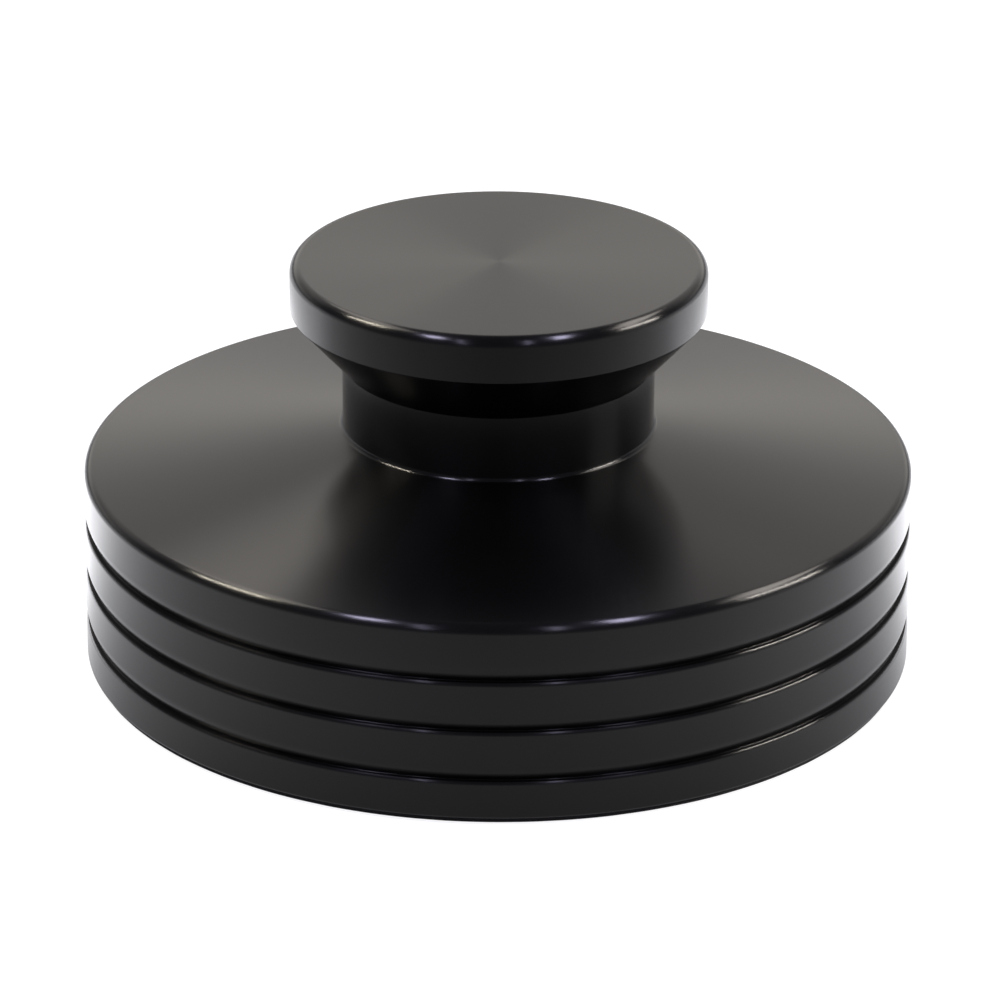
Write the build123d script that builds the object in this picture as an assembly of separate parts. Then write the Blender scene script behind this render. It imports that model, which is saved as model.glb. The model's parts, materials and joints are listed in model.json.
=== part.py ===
from build123d import *
from math import radians, tan
import os

# Record weight: a solid metal body, turned in one piece, that stands on a record's label over the
# turntable's spindle, with a thin felt pad glued to its underside. The origin is on the axis, in the
# plane that the pad rests on, and +Z is up. Sizes are millimetres and degrees.

# Base: a disc whose wall is divided into bands by turned grooves, and whose top is a shallow cone that
# rises to the neck
base_diameter = 80.0
base_height = 19.4
base_crown_height = 3.7
base_edge_radius = 1.0
foot_bevel = 0.25

# Grooves: each band slopes in at its foot, down to a crisp ledge on top of the next band
groove_count = 3
top_band_height = 5.65
band_pitch = 5.0
groove_width = 1.2
groove_depth = 0.6

# Neck and knob: a waist for the fingers under a flared, flat-topped head
neck_diameter = 30.0
neck_height = 6.5
knob_diameter = 40.0
knob_flare_height = 5.5
knob_rim_height = 4.5
knob_edge_radius = 1.0

# Blind bore that drops over the spindle
spindle_diameter = 7.2
spindle_clearance = 0.1
bore_depth = 24.0
bore_lead_in = 0.5
drill_point_angle = 118.0

# Felt pad
pad_thickness = 0.5
pad_inset = 0.4
pad_hole_diameter = 14.0

# Radii and levels worked out from the sizes above
base_radius = base_diameter / 2
neck_radius = neck_diameter / 2
knob_radius = knob_diameter / 2
bore_radius = spindle_diameter / 2 + spindle_clearance
pad_radius = base_radius - pad_inset
pad_hole_radius = pad_hole_diameter / 2

foot_level = pad_thickness
base_edge_level = foot_level + base_height
neck_root_level = base_edge_level + base_crown_height
flare_level = neck_root_level + neck_height
rim_level = flare_level + knob_flare_height
knob_top_level = rim_level + knob_rim_height
bore_end_level = foot_level + bore_depth
bore_tip_level = bore_end_level + bore_radius / tan(radians(drill_point_angle / 2))
ledge_levels = [base_edge_level - top_band_height - groove * band_pitch for groove in range(groove_count)]


def corner_at(section, radius, level):
    """The corner of a half section that lies at the given radius and level."""
    return section.vertices().sort_by_distance((radius, level))[0]


def cut_groove(section, ledge_level):
    """Cut one groove: a flank that slopes in to a flat ledge."""
    groove = Polyline(
        (base_radius, ledge_level + groove_width),
        (base_radius - groove_depth, ledge_level),
        (base_radius, ledge_level),
        close=True,
    )
    return section - make_face(groove)


def body_section():
    """Half section of the body, drawn with the radius as X and the level as Y."""
    outline = Polyline(
        (0, knob_top_level),
        (0, bore_tip_level),
        (bore_radius, bore_end_level),
        (bore_radius, foot_level + bore_lead_in),
        (bore_radius + bore_lead_in, foot_level),
        (base_radius, foot_level),
        (base_radius, base_edge_level),
        (neck_radius, neck_root_level),
        (neck_radius, flare_level),
        (knob_radius, rim_level),
        (knob_radius, knob_top_level),
        close=True,
    )
    section = make_face(outline)
    section = chamfer(corner_at(section, base_radius, foot_level), foot_bevel)
    section = fillet(corner_at(section, base_radius, base_edge_level), base_edge_radius)
    section = fillet(corner_at(section, knob_radius, knob_top_level), knob_edge_radius)
    for ledge_level in ledge_levels:
        section = cut_groove(section, ledge_level)
    return section


def make_weight_body():
    """The turned body: its half section carried once round the axis."""
    return revolve(Plane.XZ * body_section(), axis=Axis.Z)


def make_felt_pad():
    """A ring of felt, set in from the base's edge, with a hole that clears the bore's mouth."""
    return extrude(Circle(pad_radius) - Circle(pad_hole_radius), amount=pad_thickness)


pieces = {
    "weight_body": make_weight_body(),
    "felt_pad": make_felt_pad(),
}

os.makedirs("parts", exist_ok=True)
for name, piece in pieces.items():
    export_step(piece, f"parts/{name}.step")
    print(name, "volume", round(piece.volume), "mm3")
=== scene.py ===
# %% [markdown]
# # A turned record weight
# A record weight is a small heavy disc with a knob, turned from one bar of aluminium and anodised black.
# It drops over a turntable's spindle and presses the record flat. A thin felt pad keeps it off the label.
# The imported part gives its sizes and its place. This lesson gives it true edges, its finish, and the light
# of a product photograph.

# %% Load the part
import json
import math

import bpy
import numpy as np
from mathutils import Euler, Matrix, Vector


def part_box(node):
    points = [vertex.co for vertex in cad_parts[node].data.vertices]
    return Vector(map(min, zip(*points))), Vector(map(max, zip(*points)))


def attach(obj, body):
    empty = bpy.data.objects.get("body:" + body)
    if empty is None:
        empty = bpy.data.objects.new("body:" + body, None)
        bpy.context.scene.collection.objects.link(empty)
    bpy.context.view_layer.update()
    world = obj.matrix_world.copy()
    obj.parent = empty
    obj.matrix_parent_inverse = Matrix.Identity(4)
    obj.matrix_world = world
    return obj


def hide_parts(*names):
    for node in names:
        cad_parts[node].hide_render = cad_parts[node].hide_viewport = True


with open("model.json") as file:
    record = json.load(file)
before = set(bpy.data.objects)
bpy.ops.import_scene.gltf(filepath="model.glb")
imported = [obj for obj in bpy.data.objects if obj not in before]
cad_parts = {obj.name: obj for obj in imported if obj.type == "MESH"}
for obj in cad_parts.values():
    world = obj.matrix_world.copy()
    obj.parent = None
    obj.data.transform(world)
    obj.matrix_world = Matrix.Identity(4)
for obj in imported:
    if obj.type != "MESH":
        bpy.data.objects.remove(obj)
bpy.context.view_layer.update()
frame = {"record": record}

# %% [markdown]
# ## Sizes
# A lathe works from a drawing of radii and levels, so the sizes are kept the same way, in metres. What the
# frame can tell is read from it: the base's radius, the lowest and highest levels, and the spindle's bore.
# The other radii and levels are those of the part. Every edge also gets a small round, as each cut edge of a
# turned piece is broken with a file before anodising: these rounds are what catches the light. A groove has a
# wide round on its shoulder, a nearly sharp root, and a flat ledge whose lip is cut back and rounded over.

# %% Sizes of the turned body
MM = 0.001
body_low, body_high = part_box("weight_body")
base_radius = min(body_high.x, body_high.y, -body_low.x, -body_low.y)
foot_level, knob_top_level = body_low.z, body_high.z
base_height, base_crown_height, neck_height, flare_height = 19.4 * MM, 3.7 * MM, 6.5 * MM, 5.5 * MM
base_edge_level = foot_level + base_height
neck_root_level = base_edge_level + base_crown_height
flare_level = neck_root_level + neck_height
rim_level = flare_level + flare_height
neck_radius, knob_radius = 15.0 * MM, 20.0 * MM

groove_count, top_band_height, band_pitch = 3, 5.65 * MM, 5.0 * MM
groove_width, groove_depth = 1.2 * MM, 0.6 * MM

spindle_bore = next(m for m in frame["record"]["mounts"] if m["name"] == "spindle_bore")
bore_radius = spindle_bore["dims"]["r_mm"] * MM
bore_mouth_level = spindle_bore["pos_m"][2]
bore_end_level = bore_mouth_level + spindle_bore["dims"]["length_mm"] * MM
bore_lead_in = bore_mouth_level - foot_level
drill_point_half_angle = math.radians(59)

knob_edge_round, base_edge_round = 1.0 * MM, 1.0 * MM
groove_shoulder_round, groove_root_round = 2.0 * MM, 0.06 * MM
lip_width, lip_drop, lip_round, lip_corner_round = 0.135 * MM, 0.209 * MM, 0.7 * MM, 0.01 * MM
neck_root_round, flare_root_round, rim_lower_round = 0.45 * MM, 0.15 * MM, 0.2 * MM
foot_round, bore_edge_round = 0.3 * MM, 0.06 * MM
print(f"base radius {base_radius / MM:.2f} mm, height {(knob_top_level - foot_level) / MM:.2f} mm")

# %% [markdown]
# ## Rounding the outline
# The body's half section is an outline of straight sides. A bevel modifier could round its corners on the
# finished mesh, but here the rounds are worked out on the flat outline, where each is exactly an arc. The
# direction that the surface faces is worked out with it, so that wide flats shade as truly flat.

# %% Round the corners of an outline
def rounded_outline(corners, arc_steps):
    """Rows of (radius, level, facing radius, facing level) along an open outline with rounded corners.

    Each corner row is (radius, level, round). The arc starts round * tan(turn / 2) before the corner, at A.
    After turning by a, its point is A + round * (sin a * ahead + (1 - cos a) * aside), where ahead is the
    direction of the side before the corner and aside points to the arc's centre. The surface faces to the
    left of the way along the outline.
    """
    places, rounds = corners[:, :2], corners[1:-1, 2]
    sides = np.diff(places, axis=0)
    ways = sides / np.linalg.norm(sides, axis=1, keepdims=True)
    ahead, after = ways[:-1], ways[1:]
    turn = np.arctan2(ahead[:, 0] * after[:, 1] - ahead[:, 1] * after[:, 0], (ahead * after).sum(axis=1))
    aside = np.sign(turn)[:, None] * np.stack([-ahead[:, 1], ahead[:, 0]], axis=1)
    start = places[1:-1] - ahead * (rounds * np.tan(np.abs(turn) / 2))[:, None]
    angle = (np.abs(turn)[:, None] * np.linspace(0, 1, arc_steps))[..., None]
    arcs = start[:, None] + rounds[:, None, None] * (
        np.sin(angle) * ahead[:, None] + (1 - np.cos(angle)) * aside[:, None]
    )
    heading = np.cos(angle) * ahead[:, None] + np.sin(angle) * aside[:, None]
    points = np.vstack([places[:1], arcs.reshape(-1, 2), places[-1:]])
    headings = np.vstack([ways[:1], heading.reshape(-1, 2), ways[-1:]])
    return np.hstack([points, -headings[:, 1:], headings[:, :1]])


def divide_long_sides(outline, longest):
    """Rows added evenly on each side that is longer than longest, by straight interpolation between its ends."""
    lengths = np.linalg.norm(np.diff(outline[:, :2], axis=0), axis=1)
    parts = np.maximum(np.ceil(lengths / longest), 1)
    knots = np.concatenate([[0], np.cumsum(parts)])
    return np.stack([np.interp(np.arange(knots[-1] + 1), knots, column) for column in outline.T], axis=1)


longest_side = 2.5 * MM
ledge_levels = base_edge_level - top_band_height - band_pitch * np.arange(groove_count)
groove_shape = np.array(
    [
        [0, groove_width, groove_shoulder_round],
        [-groove_depth, 0, groove_root_round],
        [-lip_width, 0, lip_corner_round],
        [0, -lip_drop, lip_round],
    ]
)
groove_places = np.stack([np.full(groove_count, base_radius), ledge_levels, np.zeros(groove_count)], axis=1)
groove_corners = groove_places[:, None] + groove_shape
bore_tip_level = bore_end_level + bore_radius / math.tan(drill_point_half_angle)
body_corners = np.vstack(
    [
        [0, knob_top_level, 0],
        [knob_radius, knob_top_level, knob_edge_round],
        [knob_radius, rim_level, rim_lower_round],
        [neck_radius, flare_level, flare_root_round],
        [neck_radius, neck_root_level, neck_root_round],
        [base_radius, base_edge_level, base_edge_round],
        groove_corners.reshape(-1, 3),
        [base_radius, foot_level, foot_round],
        [bore_radius + bore_lead_in, foot_level, bore_edge_round],
        [bore_radius, bore_mouth_level, bore_edge_round],
        [bore_radius, bore_end_level, bore_edge_round],
        [0, bore_tip_level, 0],
    ]
)
body_outline = divide_long_sides(rounded_outline(body_corners, arc_steps=9), longest=longest_side)
print(len(body_corners), "corners became an outline of", len(body_outline), "points")

# %% [markdown]
# ## Turning the outline
# A lathe sweeps a profile round an axis, and the mesh is made the same way: one parameter runs along the
# outline, the other round the axis. Blender's Spin or Screw would do it too, but the grid also gives a UV map
# for nothing: U runs along the outline and V round the axis. The turning marks of the finish need that map,
# because they lie square to U everywhere on the body.

# %% Carry an outline round the axis
def turned_piece(name, outline, segments, closed):
    """A mesh object whose point at (s, t) is (r(s) cos t, r(s) sin t, z(s)), for an outline of r and z.

    A closed outline joins its last row to its first. An open one starts and ends on the axis, where each end
    is one point. Corner normals are the outline's own facing, turned by t.
    """
    radius, level, facing_out, facing_up = outline.T[:, :, None]
    angle = np.linspace(0, 2 * np.pi, segments, endpoint=False)
    flat = np.zeros(segments)
    places = np.stack([radius * np.cos(angle), radius * np.sin(angle), level + flat], axis=-1)
    facing = np.stack([facing_out * np.cos(angle), facing_out * np.sin(angle), facing_up + flat], axis=-1)

    rows = np.arange(len(outline) * segments).reshape(len(outline), segments)
    if closed:
        rows = np.vstack([rows, rows[:1]])
    else:
        rows[[0, -1]] = rows[[0, -1], :1]
        facing[[0, -1], :, :2] = 0
    turned = np.roll(rows, -1, axis=1)
    quads = np.stack([rows[:-1], rows[1:], turned[1:], turned[:-1]], axis=-1)

    loop = np.vstack([outline, outline[:1]]) if closed else outline
    steps = np.linalg.norm(np.diff(loop[:, :2], axis=0), axis=1)
    along = np.concatenate([[0], np.cumsum(steps)]) / steps.sum()
    share = np.linspace(0, 1, segments + 1)
    u = np.stack([along[:-1], along[1:], along[1:], along[:-1]], axis=-1)[:, None] + np.zeros((segments, 4))
    v = np.stack([share[:-1], share[:-1], share[1:], share[1:]], axis=-1) + np.zeros((len(along) - 1, 1, 1))
    uv = np.stack([u, v], axis=-1)

    if closed:
        faces, face_uv = [quads.reshape(-1, 4)], [uv.reshape(-1, 2)]
    else:
        first, last = [0, 1, 2], [0, 1, 3]
        faces = [quads[1:-1].reshape(-1, 4), quads[0][:, first], quads[-1][:, last]]
        face_uv = [part.reshape(-1, 2) for part in (uv[1:-1], uv[0][:, first], uv[-1][:, last])]
    used = np.unique(rows)
    faces = [np.searchsorted(used, part).tolist() for part in faces]

    mesh = bpy.data.meshes.new(name)
    mesh.from_pydata(places.reshape(-1, 3)[used].tolist(), [], sum(faces, []))
    mesh.uv_layers.new(name="turning").data.foreach_set("uv", np.vstack(face_uv).astype(np.float32).ravel())
    mesh.polygons.foreach_set("use_smooth", np.ones(len(mesh.polygons), dtype=bool))
    mesh.normals_split_custom_set_from_vertices(facing.reshape(-1, 3)[used].tolist())
    mesh.update()
    piece = bpy.data.objects.new(name, mesh)
    bpy.context.scene.collection.objects.link(piece)
    print(name, "has", len(mesh.polygons), "faces")
    return piece


turn_segments = 320
turned_body = turned_piece("turned_body", body_outline, turn_segments, closed=False)
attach(turned_body, "root")
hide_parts("weight_body")

# %% [markdown]
# ## The felt pad
# The pad is a ring of thin felt, punched from a sheet and glued under the base, with a hole round the bore.
# Only its edge shows when the weight stands. It is turned from a closed outline with soft corners. A punched
# felt edge isn't quite round, so a few slow waves move it in and out by hundredths of a millimetre.

# %% Make the felt pad
pad_low, pad_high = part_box("felt_pad")
pad_radius, pad_hole_radius = min(pad_high.x, pad_high.y, -pad_low.x, -pad_low.y), 7.0 * MM
pad_soft_round = 0.1 * MM
edge_wave_height, edge_waves = 0.03 * MM, np.array([23, 41, 67])

pad_middle = (pad_radius + pad_hole_radius) / 2
pad_corners = np.array(
    [
        [pad_middle, pad_high.z, 0],
        [pad_radius, pad_high.z, pad_soft_round],
        [pad_radius, pad_low.z, pad_soft_round],
        [pad_hole_radius, pad_low.z, pad_soft_round],
        [pad_hole_radius, pad_high.z, pad_soft_round],
        [pad_middle, pad_high.z, 0],
    ]
)
pad_outline = divide_long_sides(rounded_outline(pad_corners, arc_steps=5), longest=longest_side)[:-1]
felt_ring = turned_piece("felt_ring", pad_outline, turn_segments, closed=True)

pad_places = np.empty(len(felt_ring.data.vertices) * 3, dtype=np.float32)
felt_ring.data.vertices.foreach_get("co", pad_places)
pad_places = pad_places.reshape(-1, 3)
turn_of_point = np.arctan2(pad_places[:, 1], pad_places[:, 0])[:, None]
waves = np.sin(edge_waves * turn_of_point + edge_waves).mean(axis=1, keepdims=True)
pad_places[:, :2] *= 1 - edge_wave_height * (1 + waves) / 2 / pad_radius
felt_ring.data.vertices.foreach_set("co", pad_places.ravel())
felt_ring.data.update()
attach(felt_ring, "root")
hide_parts("felt_pad")
print(f"felt pad {(pad_high.z - pad_low.z) / MM:.2f} mm thick")

# %% [markdown]
# ## Colours and nodes
# Colours are written as the hex values of a colour picker, and Blender works in linear light, so one function
# turns one into the other. Materials, lamps and surroundings are built from nodes: one small function adds a
# node, sets it and links it, and three more make the sums, smooth steps and ramps that the light needs.

# %% Colour and node helpers
def linear(hex_colour):
    """Linear RGBA of an sRGB hex colour: c / 12.92 below 0.04045, else ((c + 0.055) / 1.055) to the power 2.4."""
    srgb = np.array([int(hex_colour[at : at + 2], 16) for at in (1, 3, 5)]) / 255
    light = np.where(srgb <= 0.04045, srgb / 12.92, ((srgb + 0.055) / 1.055) ** 2.4)
    return (*light.tolist(), 1.0)


def add_node(tree, kind, inputs=None, **settings):
    """A new node of that kind: settings are its properties, inputs its values or the sockets linked to them."""
    node = tree.nodes.new(kind)
    for name, value in settings.items():
        setattr(node, name, value)
    for name, value in (inputs or {}).items():
        if isinstance(value, bpy.types.NodeSocket):
            tree.links.new(value, node.inputs[name])
        else:
            node.inputs[name].default_value = value
    return node


def arithmetic(tree, operation, first, second):
    """The result of one Math node, such as a sum, a product or a comparison."""
    return add_node(tree, "ShaderNodeMath", {0: first, 1: second}, operation=operation).outputs[0]


def smooth_step(tree, value, start, end):
    """A value that goes smoothly from 0 at start to 1 at end."""
    inputs = {"Value": value, "From Min": start, "From Max": end}
    return add_node(tree, "ShaderNodeMapRange", inputs, interpolation_type="SMOOTHSTEP").outputs["Result"]


def ramp(tree, value, stops):
    """A colour ramp of greys: stops are pairs of (place from 0 to 1, level)."""
    node = add_node(tree, "ShaderNodeValToRGB", {"Fac": value})
    elements = node.color_ramp.elements
    elements.remove(elements[1])
    for index, (place, level) in enumerate(stops):
        stop = elements[0] if index == 0 else elements.new(place)
        stop.position, stop.color = place, (level, level, level, 1)
    return node.outputs["Color"]


def new_material(name):
    """An empty node material and its output node."""
    material = bpy.data.materials.new(name)
    material.use_nodes = True
    material.node_tree.nodes.clear()
    return material, add_node(material.node_tree, "ShaderNodeOutputMaterial")


print("middle grey in linear light:", linear("#808080")[:3])

# %% [markdown]
# ## Black anodised aluminium
# Anodising grows a clear, hard oxide on the aluminium, and the dye in it swallows nearly all the light that
# enters. What is left to see is the gloss of the oxide itself, so the shader is a near-black dielectric with
# the oxide's IOR and no bare metal. The turning tool left fine rings, and they spread a reflection along U,
# square to the rings: that is anisotropy with its tangent on the UV map. Rings of about 0.05 mm would be too
# fine to show, so they are drawn about 0.3 mm apart, as a faint change of gloss and height.

# %% Make the anodised finish
def anodised_aluminium(turning_length):
    """Satin black anodising, for a UV map whose U runs over turning_length metres of outline."""
    ring_spacing = 0.3 * MM
    ring_height = 0.0004 * MM
    blotch_size = 9.0 * MM
    oxide_ior, ring_anisotropy = 1.5, 0.889
    glossiest, dullest = 0.204, 0.219
    least_change, most_change = 0.4, 1.6
    material, output = new_material("black_anodised_aluminium")
    tree = material.node_tree
    uv = add_node(tree, "ShaderNodeUVMap", uv_map="turning")
    along = add_node(tree, "ShaderNodeSeparateXYZ", {"Vector": uv.outputs["UV"]})
    rings = add_node(
        tree,
        "ShaderNodeTexNoise",
        {"W": along.outputs["X"], "Scale": turning_length / ring_spacing, "Detail": 2.0, "Roughness": 0.6},
        noise_dimensions="1D",
    )
    place = add_node(tree, "ShaderNodeTexCoord")
    blotches = add_node(
        tree,
        "ShaderNodeTexNoise",
        {"Vector": place.outputs["Object"], "Scale": 1 / blotch_size, "Detail": 4.0},
    )
    dye = add_node(
        tree,
        "ShaderNodeMix",
        {"Factor": blotches.outputs["Fac"], "A": linear("#020202"), "B": linear("#040404")},
        data_type="RGBA",
    )
    gloss_change = arithmetic(tree, "ADD", rings.outputs["Fac"], blotches.outputs["Fac"])
    roughness = add_node(
        tree,
        "ShaderNodeMapRange",
        {
            "Value": gloss_change,
            "From Min": least_change,
            "From Max": most_change,
            "To Min": glossiest,
            "To Max": dullest,
        },
    )
    marks = add_node(
        tree,
        "ShaderNodeBump",
        {"Height": rings.outputs["Fac"], "Distance": ring_height, "Strength": 1.0},
    )
    across_rings = add_node(tree, "ShaderNodeTangent", direction_type="UV_MAP", uv_map="turning")
    shader = add_node(
        tree,
        "ShaderNodeBsdfPrincipled",
        {
            "Base Color": dye.outputs["Result"],
            "Roughness": roughness.outputs["Result"],
            "Normal": marks.outputs["Normal"],
            "Tangent": across_rings.outputs["Tangent"],
            "Metallic": 0.0,
            "IOR": oxide_ior,
            "Anisotropic": ring_anisotropy,
        },
    )
    tree.links.new(shader.outputs["BSDF"], output.inputs["Surface"])
    return material


outline_length = np.linalg.norm(np.diff(body_outline[:, :2], axis=0), axis=1).sum()
turned_body.data.materials.append(anodised_aluminium(outline_length))
print(f"the tool's path along the outline is {outline_length / MM:.0f} mm")

# %% [markdown]
# ## Felt
# Pressed wool felt is a mat of fine fibres, dull and soft to the eye: rough, with a faint sheen where fibre
# ends catch light at a low angle. Fibres of 0.03 mm are too fine to show, so the mat is drawn with tufts of
# about 0.4 mm that change both its colour and its height.

# %% Make the felt finish
def black_felt():
    """Short-pile black felt, from noise on the piece's own coordinates."""
    tuft_size = 0.4 * MM
    pile_height = 0.05 * MM
    material, output = new_material("black_wool_felt")
    tree = material.node_tree
    place = add_node(tree, "ShaderNodeTexCoord")
    tufts = add_node(
        tree,
        "ShaderNodeTexNoise",
        {"Vector": place.outputs["Object"], "Scale": 1 / tuft_size, "Detail": 5.0, "Distortion": 1.5},
    )
    wool = add_node(
        tree,
        "ShaderNodeMix",
        {"Factor": tufts.outputs["Fac"], "A": linear("#0a0a0b"), "B": linear("#242425")},
        data_type="RGBA",
    )
    pile = add_node(
        tree,
        "ShaderNodeBump",
        {"Height": tufts.outputs["Fac"], "Distance": pile_height, "Strength": 1.0},
    )
    shader = add_node(
        tree,
        "ShaderNodeBsdfPrincipled",
        {
            "Base Color": wool.outputs["Result"],
            "Normal": pile.outputs["Normal"],
            "Roughness": 0.95,
            "Sheen Weight": 0.2,
            "Sheen Roughness": 0.5,
        },
    )
    tree.links.new(shader.outputs["BSDF"], output.inputs["Surface"])
    return material


felt_ring.data.materials.append(black_felt())
print("finishes:", [material.name for material in bpy.data.materials])

# %% [markdown]
# ## Floor
# The photograph has a white ground. A matt floor lit by the lamps carries the weight's shadow. What the
# camera sees of it also glows, so that it reads as white, and the glow adds no light to the weight. A black
# gloss shows mostly what it reflects, so reflections see a floor of their own: a painted pool of light that
# glows bright behind the weight and grey in front of it, with painted shade close to the foot, and fades
# further away. The floor is open under the pad and can't be seen from below, so that the underside can be
# looked at.

# %% Make the floor
def paper_material():
    """White paper whose reflections show a painted pool of light and shade, set by the way round the weight and
    by the distance from its foot.
    """
    glow_level = 0.84
    pool_start, pool_end = 40 * MM, 110 * MM
    # Painted light: how brightly the floor glows in reflections, from in front of the weight (0) round to behind
    # it (1).
    painted_level_from_front = [
        (0.0, 0.54),
        (0.06, 0.67),
        (0.12, 0.76),
        (0.21, 0.95),
        (0.31, 1.1),
        (0.43, 1.41),
        (0.55, 2.0),
        (0.67, 3.2),
    ]
    # Painted shade: the reflected floor glows less close to the foot, and less again further away.
    painted_level_from_foot = [(0.0, 0.65), (0.29, 0.85), (0.54, 1.0), (0.69, 1.0), (0.85, 0.58), (0.93, 0.35)]
    material, output = new_material("white_paper")
    tree = material.node_tree
    lit = add_node(tree, "ShaderNodeBsdfDiffuse", {"Color": linear("#b0b0b0")})
    seen_lit = add_node(tree, "ShaderNodeBsdfDiffuse", {"Color": linear("#909090")})
    glow = add_node(tree, "ShaderNodeEmission", {"Color": linear("#ffffff"), "Strength": glow_level})
    seen = add_node(tree, "ShaderNodeAddShader", {0: seen_lit.outputs["BSDF"], 1: glow.outputs["Emission"]})

    place = add_node(tree, "ShaderNodeTexCoord").outputs["Object"]
    depth = add_node(tree, "ShaderNodeSeparateXYZ", {"Vector": place}).outputs["Y"]
    distance = add_node(tree, "ShaderNodeVectorMath", {0: place}, operation="LENGTH").outputs["Value"]
    behind = arithmetic(tree, "DIVIDE", depth, distance)
    around = add_node(tree, "ShaderNodeMapRange", {"Value": behind, "From Min": -1.0, "From Max": 1.0})
    outward = add_node(
        tree,
        "ShaderNodeMapRange",
        {"Value": distance, "From Min": pool_start, "From Max": pool_end},
    )
    painted_pool_level = arithmetic(
        tree,
        "MULTIPLY",
        ramp(tree, around.outputs["Result"], painted_level_from_front),
        ramp(tree, outward.outputs["Result"], painted_level_from_foot),
    )
    # A glowing pool of painted light and shade, which only reflections see.
    pool = add_node(tree, "ShaderNodeEmission", {"Color": linear("#fbfbff"), "Strength": painted_pool_level})

    ray = add_node(tree, "ShaderNodeLightPath")
    below = add_node(tree, "ShaderNodeNewGeometry").outputs["Backfacing"]
    clear = add_node(tree, "ShaderNodeBsdfTransparent")
    to_gloss = add_node(
        tree,
        "ShaderNodeMixShader",
        {0: ray.outputs["Is Glossy Ray"], 1: lit.outputs["BSDF"], 2: pool.outputs["Emission"]},
    )
    to_camera = add_node(
        tree,
        "ShaderNodeMixShader",
        {0: below, 1: seen.outputs["Shader"], 2: clear.outputs["BSDF"]},
    )
    paper = add_node(
        tree,
        "ShaderNodeMixShader",
        {0: ray.outputs["Is Camera Ray"], 1: to_gloss.outputs["Shader"], 2: to_camera.outputs["Shader"]},
    )
    tree.links.new(paper.outputs["Shader"], output.inputs["Surface"])
    return material


def studio_floor():
    """A flat ring at the level that the pad rests on: its point at (r, t) is (r cos t, r sin t)."""
    floor_radius, hole_radius, segments = 2.0, pad_radius - 0.5 * MM, 96
    angle = np.linspace(0, 2 * np.pi, segments, endpoint=False)
    circle = np.stack([np.cos(angle), np.sin(angle), 0 * angle], axis=1)
    places = np.vstack([hole_radius * circle, floor_radius * circle]) + [0, 0, pad_low.z]
    inner = np.arange(segments)
    after = np.roll(inner, -1)
    faces = np.stack([inner, inner + segments, after + segments, after], axis=1)
    mesh = bpy.data.meshes.new("studio_floor")
    mesh.from_pydata(places.tolist(), [], faces.tolist())
    mesh.materials.append(paper_material())
    floor = bpy.data.objects.new("studio_floor", mesh)
    bpy.context.scene.collection.objects.link(floor)
    return floor


studio_floor()
print("floor at level", round(pad_low.z / MM, 3), "mm")

# %% [markdown]
# ## Surroundings
# The camera sees plain white round the floor. Reflections see what a small studio has: a warm white sweep
# behind the weight, with a brighter spot in its middle, that fades to a dark, cool room overhead and on the
# camera's side. That darkness is what leaves the weight so black in front.

# %% Make the surroundings
def studio_surroundings():
    """A world that is white to the camera, and to other rays a white sweep behind in a dark room."""
    room_level = 0.12
    sweep_by_height = [
        (0.0, 0.0),
        (0.1, 0.06),
        (0.2, 0.9),
        (0.35, 0.3),
        (0.5, 0.64),
        (0.62, 0.45),
        (0.72, 0.17),
        (0.8, 0.0),
    ]
    spot_by_height = [(0.1, 0.0), (0.2, 0.58), (0.35, 0.68), (0.5, 0.0)]
    sweep_side, sweep_full, spot_side, spot_full = 0.25, 0.75, 0.75, 0.98
    world = bpy.data.worlds.new("studio_surroundings")
    world.use_nodes = True
    tree = world.node_tree
    tree.nodes.clear()
    way = add_node(tree, "ShaderNodeTexCoord")
    part = add_node(tree, "ShaderNodeSeparateXYZ", {"Vector": way.outputs["Generated"]})
    height, behind = part.outputs["Z"], part.outputs["Y"]
    sweep_share = smooth_step(tree, behind, sweep_side, sweep_full)
    sweep = arithmetic(tree, "MULTIPLY", ramp(tree, height, sweep_by_height), sweep_share)
    spot_share = smooth_step(tree, behind, spot_side, spot_full)
    spot = arithmetic(tree, "MULTIPLY", ramp(tree, height, spot_by_height), spot_share)
    sweep_level = arithmetic(tree, "ADD", sweep, spot)
    warm = add_node(tree, "ShaderNodeBackground", {"Color": linear("#fffaf1"), "Strength": sweep_level})
    cool = add_node(tree, "ShaderNodeBackground", {"Color": linear("#e8e8ff"), "Strength": room_level})
    lit = add_node(tree, "ShaderNodeAddShader", {0: warm.outputs["Background"], 1: cool.outputs["Background"]})
    white = add_node(tree, "ShaderNodeBackground", {"Color": linear("#ffffff"), "Strength": 1.0})
    ray = add_node(tree, "ShaderNodeLightPath")
    surroundings = add_node(
        tree,
        "ShaderNodeMixShader",
        {0: ray.outputs["Is Camera Ray"], 1: lit.outputs["Shader"], 2: white.outputs["Background"]},
    )
    output = add_node(tree, "ShaderNodeOutputWorld")
    tree.links.new(surroundings.outputs["Shader"], output.inputs["Surface"])
    return world


bpy.context.scene.world = studio_surroundings()
print("surroundings:", bpy.context.scene.world.name)

# %% [markdown]
# ## Lamps
# The highlights on the rounded edges tell where the lamps stood. A soft box on each side, a little behind,
# brightens the tops, and a narrow strip beside each makes the brightest marks on the edges. Two cool tubes
# hang high in front, two tall thin lamps stand on the camera's side and make the short marks nearer the
# middle, and a wide strip fills in from behind. One more lamp, under the floor, is for views from below. A
# lamp is given as a direction, a size and the brightness of its face. It lights what its rays reach, but is
# left out of reflections of reflections, which the real finish hardly shows.

# %% Hang the lamps
lamp_distance = 1.0
deepest_reflection = 2


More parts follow.
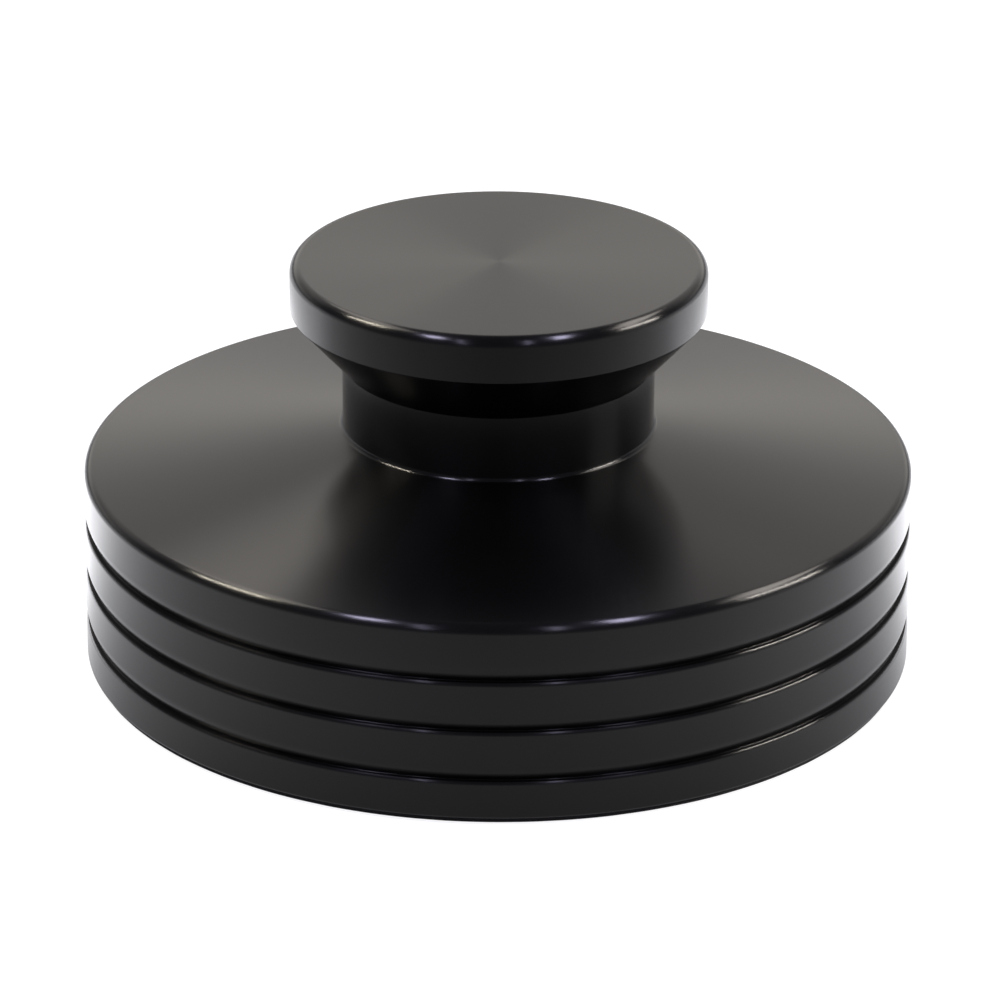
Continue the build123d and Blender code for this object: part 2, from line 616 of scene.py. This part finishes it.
def hang_lamp(name, azimuth, elevation, width, height, roll, brightness, colour):
    """An area lamp that faces the base's top, in metres and degrees: azimuth 0 is the camera's side and 90 is +X.

    Its face shows the given brightness, which is a quarter of its power per area. It goes out for rays that
    have already met more surfaces than the deepest reflection that shows it.
    """
    across, up = math.radians(azimuth), math.radians(elevation)
    way = np.array([math.sin(across) * math.cos(up), -math.cos(across) * math.cos(up), math.sin(up)])
    lamp = bpy.data.lights.new(name, "AREA")
    lamp.shape = "RECTANGLE"
    lamp.size, lamp.size_y = width, height
    lamp.energy = 4 * brightness * width * height
    lamp.color = linear(colour)[:3]

    lamp.use_nodes = True
    tree = lamp.node_tree
    tree.nodes.clear()
    ray = add_node(tree, "ShaderNodeLightPath")
    near = arithmetic(tree, "LESS_THAN", ray.outputs["Ray Depth"], deepest_reflection + 0.5)
    face = add_node(tree, "ShaderNodeEmission", {"Strength": near})
    output = add_node(tree, "ShaderNodeOutputLight")
    tree.links.new(face.outputs["Emission"], output.inputs["Surface"])

    hung = bpy.data.objects.new(name, lamp)
    hung.location = lamp_distance * way + [0, 0, base_edge_level]
    facing = Euler((math.pi / 2 - up, 0, across)).to_matrix()
    hung.rotation_euler = (facing @ Matrix.Rotation(math.radians(roll), 3, "Z")).to_euler()
    bpy.context.scene.collection.objects.link(hung)
    print(name, "hangs at", [round(float(x), 2) for x in hung.location], "m")


hang_lamp("soft_box_left", -101.6, 52.4, 0.286, 0.192, -48.7, 5.2, "#fff6dc")
hang_lamp("soft_box_right", 112.6, 50.0, 0.690, 0.226, 6.5, 4.7, "#fff8f0")
hang_lamp("tube_left", -52.0, 59.6, 0.120, 0.350, 38.4, 16.5, "#e4deff")
hang_lamp("tube_right", 57.0, 64.0, 0.086, 0.570, -36.9, 15.5, "#e4deff")
hang_lamp("back_strip", -141.6, 55.5, 0.166, 0.856, -50.7, 2.3, "#fff8f0")
hang_lamp("front_lamp_left", -22.5, 39.3, 0.030, 0.816, 9.7, 4.4, "#e4deff")
hang_lamp("front_lamp_right", 17.9, 41.0, 0.030, 0.742, -6.3, 5.4, "#e4deff")
hang_lamp("low_strip_right", 85.7, 26.4, 0.400, 0.045, -19.5, 68.0, "#fff8f0")
hang_lamp("lamp_below", 0.0, -60.0, 0.400, 0.400, 0.0, 4.0, "#ffffff")
hang_lamp("strip_left", -104.0, 49.2, 0.032, 0.285, -50.4, 86.0, "#fff6e6")

# %% [markdown]
# ## Camera
# The photograph looks down at the weight by about 23 degrees from 0.6 metres away, through a long lens. The
# lens, distance and turn below were fitted to the edges of the base, knob and neck in the picture. The axis
# point at the aim's level stands at the pixel that is named here, and the picture is 1000 pixels square.

# %% Place the camera
picture_side = 1000
aim_level, aim_pixel = 17.8 * MM, np.array([497.94, 476.49])
camera_distance, camera_elevation, camera_roll = 599.4 * MM, math.radians(23.242), math.radians(0.288)
pixels_per_focal_length = 6192.2

camera_data = bpy.data.cameras.new("camera")
camera_data.sensor_width = 36.0
camera_data.lens = pixels_per_focal_length * camera_data.sensor_width / picture_side
camera = bpy.data.objects.new("camera", camera_data)
bpy.context.scene.collection.objects.link(camera)
bpy.context.scene.camera = camera

back = np.array([0, -math.cos(camera_elevation), math.sin(camera_elevation)])
level_right = np.array([1, 0, 0])
right = math.cos(camera_roll) * level_right + math.sin(camera_roll) * np.cross(back, level_right)
up = np.cross(back, right)
offset = (aim_pixel - picture_side / 2) / pixels_per_focal_length
sight = -back + right * offset[0] - up * offset[1]
camera.location = np.array([0, 0, aim_level]) - camera_distance * sight / np.linalg.norm(sight)
camera.rotation_euler = Matrix(np.stack([right, up, back], axis=1).tolist()).to_euler()
print("camera at", [round(x, 4) for x in camera.location], "with a", round(camera_data.lens), "mm lens")

# %% [markdown]
# ## Finish
# Colours are shown as they were written, with the Standard view transform.

# %% Show colours as written
bpy.context.scene.view_settings.view_transform = "Standard"
